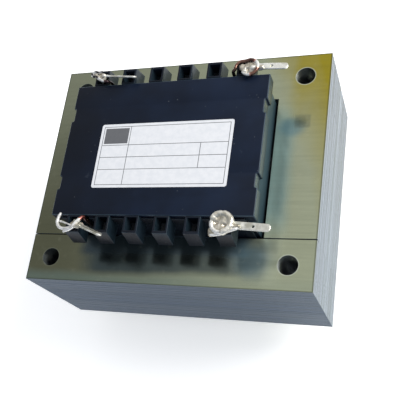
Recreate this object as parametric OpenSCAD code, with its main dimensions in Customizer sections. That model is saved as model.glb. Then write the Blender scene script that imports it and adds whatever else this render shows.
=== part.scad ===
// Laminated chassis transformer: an interleaved E and I core, a moulded bobbin
// with six terminal blocks at each end, two windings, a moulded cover on each
// face, a rating label, and four solder lugs with the winding ends soldered on.
// Millimetres. +Z leaves the label face, +X runs along the long side of the
// core, +Y points to the end away from the front joint line. The part stands on
// the rear cover at z = 0.

/* [Core] */
// Pattern unit: yoke, outer leg, window and I bar are each this wide
unit_w = 17.5; // [17.4:0.1:17.8]
// Thickness of one packet of sheets laid the same way round
packet_t = 2.5; // [2.4:0.05:2.55]
// Number of packets in the stack
packets = 18; // [16:2:18]
// Diameter of the four corner mounting holes
hole_d = 6.6; // [5.2:0.1:7]
// Air gap left where an E meets its I bar
butt_gap = 0.1; // [0.05:0.05:0.3]

/* [Bobbin] */
// Clearance between the centre leg and the bobbin tube
leg_fit = 0.3; // [0.2:0.05:0.4]
// Wall of the bobbin tube
tube_wall = 1.5; // [1.3:0.1:1.6]
// Thickness of each flange
flange_t = 1.6; // [1.4:0.1:1.7]
// Width of a terminal block
block_w = 5.2; // [4.9:0.1:5.6]
// Distance between neighbouring terminal blocks
block_pitch = 10.7; // [10.4:0.1:10.9]
// Height of a terminal block
block_h = 7.3; // [7:0.1:8]
// Width of the open socket in a terminal block
socket_w = 3.8; // [3.6:0.1:3.9]
// Depth of that socket
socket_depth = 5.4; // [5:0.1:5.6]

/* [Windings] */
// Radial build of the primary winding
primary_build = 5.2; // [4.6:0.1:5.4]
// Thickness of the insulation between the windings
between_t = 0.5; // [0.3:0.1:0.6]
// Radial build of the secondary winding
secondary_build = 5.4; // [5:0.1:5.6]
// Thickness of the outer insulation
outer_t = 0.6; // [0.3:0.1:0.7]
// Wire diameter of the primary winding
primary_wire = 1.3; // [1.1:0.1:1.3]
// Wire diameter of the primary's second strand, which ends in a hook
hook_wire = 1.1; // [0.9:0.1:1.3]
// Wire diameter of the secondary winding
secondary_wire = 1.4; // [1.2:0.1:1.5]

/* [Covers] */
// Height of each cover above the face of the core
cover_proud = 17.5; // [17.3:0.1:18]
// Length of a cover's plate along X
cover_x = 71.8; // [71.4:0.1:72.2]
// Width of a cover's plate along Y
cover_y = 50.8; // [50.2:0.1:50.9]
// Thickness of that plate
plate_t = 1.8; // [1.5:0.1:2]
// Height of the thick rim along the two short ends of the plate
rim_h = 5; // [4.5:0.1:5.5]
// How far the inner wings reach into the core windows
wing_in = 8; // [6:0.5:10]

/* [Label] */
// Label length
label_x = 48.3; // [44:0.1:50]
// Label width
label_y = 24.3; // [20:0.1:26]
// Label thickness
label_t = 0.12; // [0.1:0.01:0.2]

/* [Lugs] */
// Width of a solder lug
lug_w = 2.6; // [2.4:0.1:2.9]
// Thickness of a solder lug
lug_t = 0.8; // [0.6:0.05:0.8]
// Reach of a lug's tab from its stem
lug_reach = 14.9; // [14:0.1:15.2]

/* [Hidden] */
$fn = 64;
stack = packets * packet_t;
z_rear = cover_proud;
z_front = cover_proud + stack;
z_mid = cover_proud + stack / 2;
z_top = 2 * cover_proud + stack;
core_x = 6 * unit_w;
core_y = 5 * unit_w;
hole_x = 2.5 * unit_w;
hole_y = 2 * unit_w;

tube_ix = unit_w + leg_fit;
tube_iz = stack / 2 + leg_fit;
tube_ox = tube_ix + tube_wall;
tube_oz = tube_iz + tube_wall;
wing_ox = 2 * unit_w - 1;
wing_ix = wing_ox - 1.4;
flange_x = wing_ix - 0.1;
flange_z = stack / 2 + cover_proud - plate_t;
bob_y = 1.5 * unit_w - 0.35;
wind_y = bob_y - flange_t - 0.2;
block_y0 = cover_y / 2 + 0.1;
block_y1 = block_y0 + 6;
block_y2 = block_y1 + 1.4;
block_z0 = z_top - block_h;
socket_y0 = block_y0 + 0.5;
socket_y1 = block_y1 - 0.9;
socket_z0 = z_top - socket_depth;
lug_x = 2.5 * block_pitch;
lug_y = (socket_y0 + socket_y1) / 2;
lead_x = lug_x - block_w / 2 - 1.2;
slot_w = 2;

r0 = 1;
o1 = 0.05;
o2 = o1 + primary_build;
o3 = o2 + 0.05;
o4 = o3 + between_t;
o5 = o4 + 0.05;
o6 = o5 + secondary_build;
o7 = o6 + 0.05;
o8 = o7 + outer_t;
primary_lead_z = z_mid + tube_oz + 2.3;
secondary_lead_z = z_mid + tube_oz + (o5 + o6) / 2 + 0.2;
ring_z = z_top + 0.05 + lug_t + 0.05 + secondary_wire / 2;

steel = [0.46, 0.48, 0.42];
plastic = [0.1, 0.12, 0.17];
copper = [0.62, 0.3, 0.16];
tin = [0.8, 0.8, 0.78];

// ---- small helpers -------------------------------------------------------

// Rounded rectangle built from squares and circles
module rounded(hx, hy, r) {
  square([2 * hx, 2 * (hy - r)], center = true);
  square([2 * (hx - r), 2 * hy], center = true);
  for (sx = [-1, 1], sy = [-1, 1]) translate([sx * (hx - r), sy * (hy - r)]) circle(r = r);
}

// Rectangular ring round the bobbin tube, from offset a to offset b
module tube_ring(a, b, half_y) {
  translate([0, half_y, z_mid]) rotate([90, 0, 0]) linear_extrude(2 * half_y) difference() {
    rounded(tube_ox + b, tube_oz + b, r0 + b);
    rounded(tube_ox + a, tube_oz + a, r0 + a);
  }
}

function unit(v) = v / norm(v);
function spline_at(a, b, c, d, t) = 0.5 * ((2 * b) + (c - a) * t + (2 * a - 5 * b + 4 * c - d) * t * t
  + (3 * b - a - 3 * c + d) * t * t * t);
function spline(p, k) = [for (i = [0 : len(p) - 2]) for (j = [0 : k - 1])
  spline_at(p[max(0, i - 1)], p[i], p[i + 1], p[min(len(p) - 1, i + 2)], j / k), p[len(p) - 1]];
function tangent(p, i) = unit(p[min(len(p) - 1, i + 1)] - p[max(0, i - 1)]);
function carry(n, t) = unit(n - (n * t) * t);
function side_dirs(p, i, n) = i == len(p) ? [] :
  let (m = carry(n, tangent(p, i))) concat([m], side_dirs(p, i + 1, m));

// Round wire along a smooth path through the given points
module wire(points, r, sides = 8, k = 4) {
  p = spline(points, k);
  n = side_dirs(p, 0, carry([0.31, 0.17, 0.93], tangent(p, 0)));
  c = len(p);
  polyhedron(
    points = concat(
      [for (i = [0 : c - 1]) let (u = n[i], w = cross(tangent(p, i), u))
        for (j = [0 : sides - 1]) p[i] + r * (cos(360 * j / sides) * u + sin(360 * j / sides) * w)],
      [p[0], p[c - 1]]),
    faces = concat(
      [for (i = [0 : c - 2], j = [0 : sides - 1]) let (a = i * sides + j, b = i * sides + (j + 1) % sides)
        [b, a, a + sides]],
      [for (i = [0 : c - 2], j = [0 : sides - 1]) let (a = i * sides + j, b = i * sides + (j + 1) % sides)
        [b, a + sides, b + sides]],
      [for (j = [0 : sides - 1]) [j, (j + 1) % sides, c * sides]],
      [for (j = [0 : sides - 1]) [(c - 1) * sides + (j + 1) % sides, (c - 1) * sides + j, c * sides + 1]]));
}

// ---- core ------------------------------------------------------------------

// One E sheet's outline, yoke at +Y
module e_shape() {
  difference() {
    translate([-core_x / 2, -1.5 * unit_w + butt_gap]) square([core_x, 4 * unit_w - butt_gap]);
    for (s = [-1, 1]) translate([s * 1.5 * unit_w - unit_w / 2, -2 * unit_w]) square([unit_w, 3.5 * unit_w]);
    for (s = [-1, 1]) translate([s * hole_x, hole_y]) circle(d = hole_d);
  }
}

// One I bar's outline, lying at -Y
module i_shape() {
  difference() {
    translate([-core_x / 2, -2.5 * unit_w]) square([core_x, unit_w]);
    for (s = [-1, 1]) translate([s * hole_x, -hole_y]) circle(d = hole_d);
  }
}

// Packets first, first + 2, and so on, turned end for end when flip is 1
module packet_stack(first, flip) {
  for (k = [first : 2 : packets - 1]) translate([0, 0, z_rear + k * packet_t])
    rotate([0, 0, flip * 180]) linear_extrude(packet_t) children();
}

module e_laminations_a() { color(steel) packet_stack(1, 0) e_shape(); }
module i_laminations_a() { color(steel) packet_stack(1, 0) i_shape(); }
module e_laminations_b() { color(steel) packet_stack(0, 1) e_shape(); }
module i_laminations_b() { color(steel) packet_stack(0, 1) i_shape(); }

// ---- bobbin ----------------------------------------------------------------

// One terminal block on the +Y flange, centred at x
module block(x) {
  translate([x - block_w / 2, 0, 0]) rotate([90, 0, 90]) linear_extrude(block_w)
    polygon([[block_y0, block_z0], [block_y2, block_z0], [block_y1, z_top], [block_y0, z_top]]);
}

module socket(x) {
  translate([x - socket_w / 2, socket_y0, socket_z0])
    cube([socket_w, socket_y1 - socket_y0, socket_depth + 1]);
}

module bobbin() {
  color(plastic) difference() {
    union() {
      translate([0, bob_y, z_mid]) rotate([90, 0, 0]) linear_extrude(2 * bob_y)
        rounded(tube_ox, tube_oz, r0);
      for (s = [-1, 1]) translate([-flange_x, s * (bob_y - flange_t / 2) - flange_t / 2, z_mid - flange_z])
        cube([2 * flange_x, flange_t, 2 * flange_z]);
      for (m = [0, 1], i = [0 : 5]) mirror([0, m, 0]) block((i - 2.5) * block_pitch);
    }
    translate([-tube_ix, -bob_y - 1, z_mid - tube_iz]) cube([2 * tube_ix, 2 * bob_y + 2, 2 * tube_iz]);
    for (m = [0, 1], i = [0 : 5]) mirror([0, m, 0]) socket((i - 2.5) * block_pitch);
    // slits that hold the stems of the four lugs
    for (sx = [-1, 1], sy = [-1, 1])
      translate([sx * lug_x - lug_t / 2, sy * lug_y - lug_w / 2, socket_z0 - 1.1])
        cube([lug_t, lug_w, 3]);
    // ways out for the winding ends
    for (sy = [-1, 1]) {
      translate([-lead_x - slot_w / 2, sy * (bob_y - flange_t / 2) - flange_t, primary_lead_z - 1])
        cube([slot_w, 2 * flange_t, 40]);
      translate([lead_x - slot_w / 2, sy * (bob_y - flange_t / 2) - flange_t, secondary_lead_z - 1])
        cube([slot_w, 2 * flange_t, 40]);
    }
  }
}

// ---- windings --------------------------------------------------------------

// Primary end at -Y: out of the slot, up past the cover's edge and across the
// lug's root to a short tail
primary_near = [
  [-lead_x + 0.5, -wind_y + 1.5, primary_lead_z], [-lead_x, -wind_y - 1.2, primary_lead_z],
  [-lead_x, -bob_y - 0.7, primary_lead_z + 1.2], [-lead_x, -bob_y - 0.75, primary_lead_z + 4],
  [-lead_x, -bob_y - 0.75, z_top - 1.8], [-lead_x - 0.1, -bob_y - 0.45, z_top + 0.5],
  [-lead_x - 0.75, -lug_y + 0.9, z_top + 1.35], [-lug_x + 2, -lug_y - 0.5, z_top + 1.65],
  [-lug_x + 0.9, -lug_y - 2.1, z_top + 1.65], [-lug_x - 0.8, -lug_y - 3.3, z_top + 1.4],
  [-lug_x - 2.4, -lug_y - 4, z_top + 1.2]];
// The hooked end of its second strand, lying on the block beside the lug
primary_hook = [
  [-lug_x + 0.9, -lug_y - 2, z_top + 1.6], [-lug_x - 1.5, -lug_y - 2.6, z_top + 1.5],
  [-lug_x - 3.9, -lug_y - 2.2, z_top + 1.3], [-lug_x - 5.3, -lug_y - 0.4, z_top + 1.2],
  [-lug_x - 5.2, -lug_y + 1.5, z_top + 1.2], [-lug_x - 4.5, -lug_y + 3.1, z_top + 1.4]];
// Primary end at +Y: across the root, then folded back behind the lug
primary_far = [
  [-lead_x + 0.5, wind_y - 1.5, primary_lead_z], [-lead_x, wind_y + 1.2, primary_lead_z],
  [-lead_x, bob_y + 0.7, primary_lead_z + 1.2], [-lead_x, bob_y + 0.75, primary_lead_z + 4],
  [-lead_x, bob_y + 0.75, z_top - 1.4], [-lead_x - 0.8, lug_y - 2.1, z_top + 1],
  [-lug_x + 1.5, lug_y - 2, z_top + 1.5], [-lug_x - 0.2, lug_y - 1.2, z_top + 1.65],
  [-lug_x - 1.7, lug_y - 0.1, z_top + 1.6], [-lug_x - 3.1, lug_y + 0.3, z_top + 1.5],
  [-lug_x - 3.5, lug_y + 1.3, z_top + 1.5], [-lug_x - 2.3, lug_y + 1.75, z_top + 1.7],
  [-lug_x - 0.8, lug_y + 1.45, z_top + 1.8], [-lug_x + 0.7, lug_y + 1.7, z_top + 1.9]];

// Secondary end at -Y: out of the slot, up beside the block, then one turn lying
// on the lug's root
loop_near = [lug_x - 0.65, -lug_y + 0.1];
loop_near_r = 3.15;
secondary_near = concat(
  [[lead_x, -wind_y + 1.5, secondary_lead_z], [lead_x, -bob_y + 0.8, secondary_lead_z],
   [lead_x, -bob_y - 0.7, secondary_lead_z + 0.5], [lead_x, -bob_y - 0.9, secondary_lead_z + 2],
   [lead_x, -bob_y - 0.9, z_top - 1.5], [lead_x, -bob_y - 1.1, z_top + 0.5]],
  [for (a = [178 : -32 : -100]) [loop_near.x + loop_near_r * cos(a), loop_near.y - loop_near_r * sin(a), ring_z]]);
// Secondary end at +Y: up over the corner of the block, then a smaller turn
loop_far = [lug_x + 2.15, lug_y - 0.9];
loop_far_r = 2.85;
secondary_far = concat(
  [[lead_x, wind_y - 1.5, secondary_lead_z], [lead_x, bob_y - 0.8, secondary_lead_z],
   [lead_x, bob_y + 0.7, secondary_lead_z + 0.5], [lead_x, bob_y + 0.85, secondary_lead_z + 2],
   [lead_x, bob_y + 0.8, z_top - 1.2], [lead_x + 0.35, bob_y + 0.8, z_top + 0.75],
   [lead_x + 1.05, lug_y - 1.1, z_top + 1.4], [lead_x + 1.45, lug_y + 0.3, ring_z], [lead_x + 2.7, lug_y + 1.4, ring_z]],
  [for (a = [118 : -29 : -150]) [loop_far.x + loop_far_r * cos(a), loop_far.y + loop_far_r * sin(a), ring_z]]);

module primary_winding() {
  color(copper) union() {
    tube_ring(o1, o2, wind_y);
    wire(primary_near, primary_wire / 2);
    wire(primary_hook, hook_wire / 2);
    wire(primary_far, primary_wire / 2);
  }
}

module interwinding_insulation() { color([0.85, 0.8, 0.55]) tube_ring(o3, o4, wind_y); }

module secondary_winding() {
  color(copper) union() {
    tube_ring(o5, o6, wind_y);
    wire(secondary_near, secondary_wire / 2);
    wire(secondary_far, secondary_wire / 2);
  }
}

module outer_insulation() { color([0.85, 0.8, 0.55]) tube_ring(o7, o8, wind_y); }

// ---- covers ----------------------------------------------------------------

module cover() {
  difference() {
    union() {
      translate([-cover_x / 2, -cover_y / 2, z_top - plate_t]) cube([cover_x, cover_y, plate_t]);
      for (s = [0, 1]) mirror([s, 0, 0]) {
        translate([wing_ix, -cover_y / 2, z_top - rim_h]) cube([cover_x / 2 - wing_ix, cover_y, rim_h]);
        translate([wing_ix, -cover_y / 2, z_front - wing_in])
          cube([wing_ox - wing_ix, cover_y, cover_proud + wing_in]);
      }
    }
    // two shallow notches in each short end
    for (s = [0, 1]) mirror([s, 0, 0]) {
      translate([cover_x / 2 - 0.9, 11, z_top - rim_h - 1]) cube([2, 5.1, rim_h + 2]);
      translate([cover_x / 2 - 0.9, -15.6, z_top - rim_h - 1]) cube([2, 4.9, rim_h + 2]);
    }
  }
}

module front_cover() { color(plastic) cover(); }
module rear_cover() { color(plastic) translate([0, 0, z_top]) mirror([0, 0, 1]) cover(); }

module rating_label() {
  color([0.93, 0.93, 0.93]) translate([1.6, -3.2, z_top]) linear_extrude(label_t)
    rounded(label_x / 2, label_y / 2, 0.8);
}

// ---- lugs and solder -------------------------------------------------------

// Lug with its stem on the Z axis and its tab along +X. The flat root runs to x =
// root, then roll turns the tab about its own length and rise lifts it
module lug(roll, rise, root, reach) {
  h = 0.05 + lug_t / 2;
  rb = lug_t + 0.3;
  // stem
  translate([-lug_t / 2, -lug_w / 2, socket_z0 - 1.1]) cube([lug_t, lug_w, z_top + h + lug_t / 2 - rb - socket_z0 + 1.1]);
  // bend
  translate([-lug_t / 2 + rb, lug_w / 2, z_top + h + lug_t / 2 - rb]) rotate([90, 0, 0]) linear_extrude(lug_w)
    intersection() {
      difference() { circle(r = rb); circle(r = 0.3); }
      translate([-rb, 0]) square([rb, rb]);
    }
  // root
  translate([-lug_t / 2 + rb, -lug_w / 2, z_top + h - lug_t / 2]) cube([root + lug_t / 2 - rb, lug_w, lug_t]);
  // tab
  translate([0, 0, z_top + h + rise]) rotate([roll, 0, 0]) translate([0, 0, -lug_t / 2])
    linear_extrude(lug_t) difference() {
      union() {
        translate([root - 0.8, -lug_w / 2]) square([reach - lug_w / 2 - root + 0.8, lug_w]);
        translate([reach - lug_w / 2, 0]) circle(r = lug_w / 2);
      }
      translate([reach - 5.5, 0]) circle(d = 1);
    }
}

module place_lug(sx, sy, turn) {
  translate([sx * lug_x, sy * lug_y, 0]) rotate([0, 0, turn]) children();
}

module primary_lug_1() { color(tin) lug_at(0); }
module primary_lug_2() { color(tin) lug_at(1); }
module secondary_lug_1() { color(tin) lug_at(2); }
module secondary_lug_2() { color(tin) lug_at(3); }

// The stem fits its slit squarely, so each lug is turned above the slit only
module lug_at(i) {
  sx = [-1, -1, 1, 1][i];
  sy = [-1, 1, -1, 1][i];
  turn = [-21, -6, -4, -4][i];
  roll = [-64, -62, 0, -12][i];
  rise = [1.05, 1.25, 0, 0.4][i];
  root = [4.1, 2.5, 6, 6.6][i];
  reach = lug_reach - [1.6, 0.2, 0, -0.2][i];
  translate([sx * lug_x, sy * lug_y, 0]) {
    translate([-lug_t / 2, -lug_w / 2, socket_z0 - 1.1]) cube([lug_t, lug_w, socket_depth + 0.2]);
    intersection() {
      rotate([0, 0, turn]) lug(roll, rise, root, reach);
      translate([-40, -40, z_top - 1.2]) cube([80, 80, 20]);
    }
  }
}

// Solder dome of radius r and height h standing on the block's top
module dome(r, h) {
  rr = (r * r + h * h) / (2 * h);
  rotate_extrude() intersection() {
    translate([0, h - rr]) circle(r = rr);
    square([r + 1, h + 1]);
  }
}

module primary_solder_1() {
  color(tin) difference() {
    translate([-lug_x + 0.9, -lug_y - 1, z_top]) dome(2, 2.3);
    lug_at(0);
    wire(primary_near, primary_wire / 2);
    wire(primary_hook, hook_wire / 2);
  }
}

module primary_solder_2() {
  color(tin) difference() {
    translate([-lug_x - 0.1, lug_y + 0.2, z_top]) dome(2.1, 2.45);
    lug_at(1);
    wire(primary_far, primary_wire / 2);
  }
}

// The -Y joint buries the whole turn of wire, the +Y one only fills its middle
module secondary_solder_1() {
  color(tin) difference() {
    translate([loop_near.x, loop_near.y, ring_z - 1]) rotate_extrude() {
      translate([loop_near_r, 1]) circle(r = 1.2);
      square([loop_near_r, 1.9]);
    }
    lug_at(2);
    wire(secondary_near, secondary_wire / 2);
  }
}

module secondary_solder_2() {
  color(tin) difference() {
    translate([loop_far.x - 0.2, loop_far.y + 0.1, z_top]) rotate_extrude() {
      translate([1.7, 1.1]) circle(r = 1.1);
      square([1.7, 2.2]);
    }
    lug_at(3);
    wire(secondary_far, secondary_wire / 2);
  }
}

e_laminations_a();
i_laminations_a();
e_laminations_b();
i_laminations_b();
bobbin();
primary_winding();
interwinding_insulation();
secondary_winding();
outer_insulation();
front_cover();
rear_cover();
rating_label();
primary_lug_1();
primary_lug_2();
secondary_lug_1();
secondary_lug_2();
primary_solder_1();
primary_solder_2();
secondary_solder_1();
secondary_solder_2();
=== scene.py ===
import math
import random

import bmesh
import bpy
from mathutils import Matrix, Vector, noise
from mathutils.geometry import tessellate_polygon


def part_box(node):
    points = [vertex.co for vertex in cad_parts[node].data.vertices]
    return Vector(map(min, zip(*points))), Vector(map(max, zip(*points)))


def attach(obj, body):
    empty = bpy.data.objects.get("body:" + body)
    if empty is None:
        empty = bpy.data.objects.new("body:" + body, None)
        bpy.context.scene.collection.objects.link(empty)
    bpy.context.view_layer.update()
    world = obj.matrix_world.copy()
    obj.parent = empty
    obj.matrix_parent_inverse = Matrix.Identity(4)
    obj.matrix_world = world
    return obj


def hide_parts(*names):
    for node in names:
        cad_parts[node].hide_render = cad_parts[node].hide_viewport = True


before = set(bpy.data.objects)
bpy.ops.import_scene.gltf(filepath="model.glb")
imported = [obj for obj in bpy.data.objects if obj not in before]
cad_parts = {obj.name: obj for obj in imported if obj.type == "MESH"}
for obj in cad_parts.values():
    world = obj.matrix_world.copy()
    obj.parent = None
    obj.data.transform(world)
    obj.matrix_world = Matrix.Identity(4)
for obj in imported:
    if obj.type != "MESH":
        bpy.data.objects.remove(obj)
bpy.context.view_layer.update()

MM = 0.001
scene = bpy.context.scene


# ---------------------------------------------------------------- camera ----

cam_data = bpy.data.cameras.new("view_camera")
cam_data.lens = 62.08
cam_data.sensor_width = 36.0
cam_data.shift_x = 0.10
cam_data.shift_y = 0.08
cam_data.clip_start = 0.01
cam_data.clip_end = 20.0
cam = bpy.data.objects.new("view_camera", cam_data)
scene.collection.objects.link(cam)
right = Vector((0.923803, 0.150576, -0.352015))
up = Vector((-0.017404, 0.934981, 0.354270))
back = Vector((0.382472, -0.321150, 0.866359))
turn = Matrix((right, up, back)).transposed().to_4x4()
cam.matrix_world = Matrix.Translation((0.09007, -0.10189, 0.27117)) @ turn
scene.camera = cam


# ---------------------------------------------------------- small helpers ----

def lin(r, g, b):
    """An 8-bit screen colour as a linear one with alpha."""
    out = []
    for v in (r, g, b):
        v /= 255.0
        out.append(v / 12.92 if v <= 0.04045 else ((v + 0.055) / 1.055) ** 2.4)
    return (*out, 1.0)


def span(node):
    """A node's box in millimetres: (x0, y0, z0, x1, y1, z1)."""
    lo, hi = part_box(node)
    return (*[v / MM for v in lo], *[v / MM for v in hi])


def new_object(name, verts, faces, scale=MM):
    me = bpy.data.meshes.new(name)
    me.from_pydata([(v[0] * scale, v[1] * scale, v[2] * scale) for v in verts], [], faces)
    me.validate()
    me.update()
    ob = bpy.data.objects.new(name, me)
    scene.collection.objects.link(ob)
    return ob


def baked(ob):
    """Applies the modifiers of ob by taking its evaluated mesh."""
    bpy.context.view_layer.update()
    got = bpy.data.meshes.new_from_object(ob.evaluated_get(bpy.context.evaluated_depsgraph_get()))
    old = ob.data
    ob.modifiers.clear()
    ob.data = got
    got.name = ob.name
    if old.users == 0:
        bpy.data.meshes.remove(old)
    return ob


def shade(ob, angle=35):
    """Smooth shading with edges sharper than angle kept sharp."""
    me = ob.data
    me.polygons.foreach_set("use_smooth", [True] * len(me.polygons))
    me.set_sharp_from_angle(angle=math.radians(angle))
    me.update()
    return ob


def clean_copy(node, name):
    """A new piece made from a node's outline: welded, with its flat areas joined."""
    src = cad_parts[node].data
    me = bpy.data.meshes.new(name)
    bm = bmesh.new()
    bm.from_mesh(src)
    bmesh.ops.remove_doubles(bm, verts=bm.verts, dist=2e-6)
    bmesh.ops.dissolve_limit(bm, angle_limit=math.radians(0.6), verts=bm.verts, edges=bm.edges)
    bm.normal_update()
    bm.to_mesh(me)
    bm.free()
    ob = bpy.data.objects.new(name, me)
    scene.collection.objects.link(ob)
    return ob


def cut_with(ob, tool, op="DIFFERENCE"):
    m = ob.modifiers.new("cut", "BOOLEAN")
    m.operation = op
    m.solver = "EXACT"
    m.object = tool
    baked(ob)
    bpy.data.objects.remove(tool)
    return ob


def round_edges(ob, width, segments=2, angle=32):
    m = ob.modifiers.new("edges", "BEVEL")
    m.width = width * MM
    m.segments = segments
    m.limit_method = "ANGLE"
    m.angle_limit = math.radians(angle)
    m.use_clamp_overlap = True
    m.miter_outer = "MITER_ARC"
    return baked(ob)


def boxes(name, items):
    """Several boxes (x0, y0, z0, x1, y1, z1) as one mesh, in millimetres."""
    v, f = [], []
    for x0, y0, z0, x1, y1, z1 in items:
        n = len(v)
        v += [(x0, y0, z0), (x1, y0, z0), (x1, y1, z0), (x0, y1, z0),
              (x0, y0, z1), (x1, y0, z1), (x1, y1, z1), (x0, y1, z1)]
        f += [(n, n + 3, n + 2, n + 1), (n + 4, n + 5, n + 6, n + 7), (n, n + 1, n + 5, n + 4),
              (n + 1, n + 2, n + 6, n + 5), (n + 2, n + 3, n + 7, n + 6), (n + 3, n, n + 4, n + 7)]
    return new_object(name, v, f)


def put(ob, material, node=None):
    """Gives ob its material, puts it on the body and hides the nodes it stands for."""
    ob.data.materials.clear()
    ob.data.materials.append(material)
    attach(ob, "root")
    if node:
        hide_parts(*([node] if isinstance(node, str) else node))
    return ob


# --------------------------------------------------------- material nodes ----

class Graph:
    """A material's node tree, with short names for what is used most."""

    def __init__(self, name):
        self.mat = bpy.data.materials.new(name)
        self.mat.use_nodes = True
        self.tree = self.mat.node_tree
        self.tree.nodes.clear()
        out = self.new("ShaderNodeOutputMaterial")
        self.bsdf = self.new("ShaderNodeBsdfPrincipled")
        self.tree.links.new(self.bsdf.outputs[0], out.inputs[0])
        tc = self.new("ShaderNodeTexCoord")
        self.place = tc.outputs["Object"]
        self.normal = tc.outputs["Normal"]
        s = self.new("ShaderNodeSeparateXYZ")
        self.link(self.place, s.inputs[0])
        self.x, self.y, self.z = s.outputs
        s = self.new("ShaderNodeSeparateXYZ")
        self.link(self.normal, s.inputs[0])
        self.nx, self.ny, self.nz = s.outputs

    def new(self, kind):
        return self.tree.nodes.new(kind)

    def link(self, a, b):
        self.tree.links.new(a, b)

    def give(self, socket, value):
        if isinstance(value, bpy.types.NodeSocket):
            self.link(value, socket)
        else:
            socket.default_value = value

    def math(self, op, a, b=0.0, c=0.0, clamp=False):
        n = self.new("ShaderNodeMath")
        n.operation = op
        n.use_clamp = clamp
        for socket, value in zip(n.inputs, (a, b, c)):
            self.give(socket, value)
        return n.outputs[0]

    def add(self, a, b):
        return self.math("ADD", a, b)

    def mul(self, a, b):
        return self.math("MULTIPLY", a, b)

    def ramp(self, value, a, b, lo=0.0, hi=1.0, smooth=True):
        n = self.new("ShaderNodeMapRange")
        n.interpolation_type = "SMOOTHSTEP" if smooth else "LINEAR"
        n.clamp = True
        self.give(n.inputs["Value"], value)
        n.inputs["From Min"].default_value = a
        n.inputs["From Max"].default_value = b
        n.inputs["To Min"].default_value = lo
        n.inputs["To Max"].default_value = hi
        return n.outputs["Result"]

    def band(self, value, a, b, soft):
        """1 between a and b, fading over soft on both sides."""
        return self.mul(self.ramp(value, a - soft, a + soft), self.ramp(value, b - soft, b + soft, 1.0, 0.0))

    def spot(self, cx, cy, rx, ry, inner=0.2, wobble=None):
        """A soft round patch in the XY plane, 1 in the middle. Millimetres."""
        dx = self.math("DIVIDE", self.math("SUBTRACT", self.x, cx * MM), rx * MM)
        dy = self.math("DIVIDE", self.math("SUBTRACT", self.y, cy * MM), ry * MM)
        d = self.math("SQRT", self.add(self.mul(dx, dx), self.mul(dy, dy)))
        if wobble is not None:
            d = self.add(d, wobble)
        return self.ramp(d, inner, 1.0, 1.0, 0.0)

    def stretched(self, sx, sy, sz):
        n = self.new("ShaderNodeMapping")
        self.link(self.place, n.inputs["Vector"])
        n.inputs["Scale"].default_value = (sx, sy, sz)
        return n.outputs[0]

    def noise(self, scale, detail=3.0, rough=0.5, vector=None, distortion=0.0):
        n = self.new("ShaderNodeTexNoise")
        self.link(vector or self.place, n.inputs["Vector"])
        n.inputs["Scale"].default_value = scale
        n.inputs["Detail"].default_value = detail
        n.inputs["Roughness"].default_value = rough
        n.inputs["Distortion"].default_value = distortion
        return n.outputs["Fac"]

    def cells(self, scale, vector=None, feature="F1", out="Distance"):
        n = self.new("ShaderNodeTexVoronoi")
        n.feature = feature
        self.link(vector or self.place, n.inputs["Vector"])
        n.inputs["Scale"].default_value = scale
        return n.outputs[out]

    def mix(self, fac, a, b, kind="MIX"):
        n = self.new("ShaderNodeMix")
        n.data_type = "RGBA"
        n.blend_type = kind
        n.clamp_factor = True
        sockets = {s.identifier: s for s in n.inputs}
        self.give(sockets["Factor_Float"], fac)
        self.give(sockets["A_Color"], a)
        self.give(sockets["B_Color"], b)
        return [s for s in n.outputs if s.identifier == "Result_Color"][0]

    def random_of(self, value):
        """A repeatable random number from 0 to 1 for each value."""
        n = self.new("ShaderNodeTexWhiteNoise")
        n.noise_dimensions = "1D"
        self.give(n.inputs["W"], value)
        return n.outputs["Value"]

    def bump(self, height, distance, strength=1.0, under=None):
        n = self.new("ShaderNodeBump")
        n.inputs["Strength"].default_value = strength
        n.inputs["Distance"].default_value = distance
        self.give(n.inputs["Height"], height)
        if under is not None:
            self.link(under, n.inputs["Normal"])
        return n.outputs[0]

    def set(self, **values):
        names = {"color": "Base Color", "rough": "Roughness", "metal": "Metallic", "normal": "Normal",
                 "specular": "Specular IOR Level", "ior": "IOR", "coat": "Coat Weight",
                 "coat_rough": "Coat Roughness", "coat_normal": "Coat Normal",
                 "aniso": "Anisotropic", "sheen": "Sheen Weight",
                 "alpha": "Alpha", "transmission": "Transmission Weight"}
        for k, v in values.items():
            self.give(self.bsdf.inputs[names[k]], v)
        return self.mat


core_lo = [min(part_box(n)[0][i] for n in ("e_laminations_a", "i_laminations_a", "e_laminations_b", "i_laminations_b")) / MM for i in range(3)]
core_hi = [max(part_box(n)[1][i] for n in ("e_laminations_a", "i_laminations_a", "e_laminations_b", "i_laminations_b")) / MM for i in range(3)]
UNIT = (core_hi[0] - core_lo[0]) / 6
Z_REAR, Z_FRONT = core_lo[2], core_hi[2]
PACKETS = 18
PACKET = (Z_FRONT - Z_REAR) / PACKETS
Z_MID = (Z_REAR + Z_FRONT) / 2
Z_TOP = span("front_cover")[5]


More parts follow.
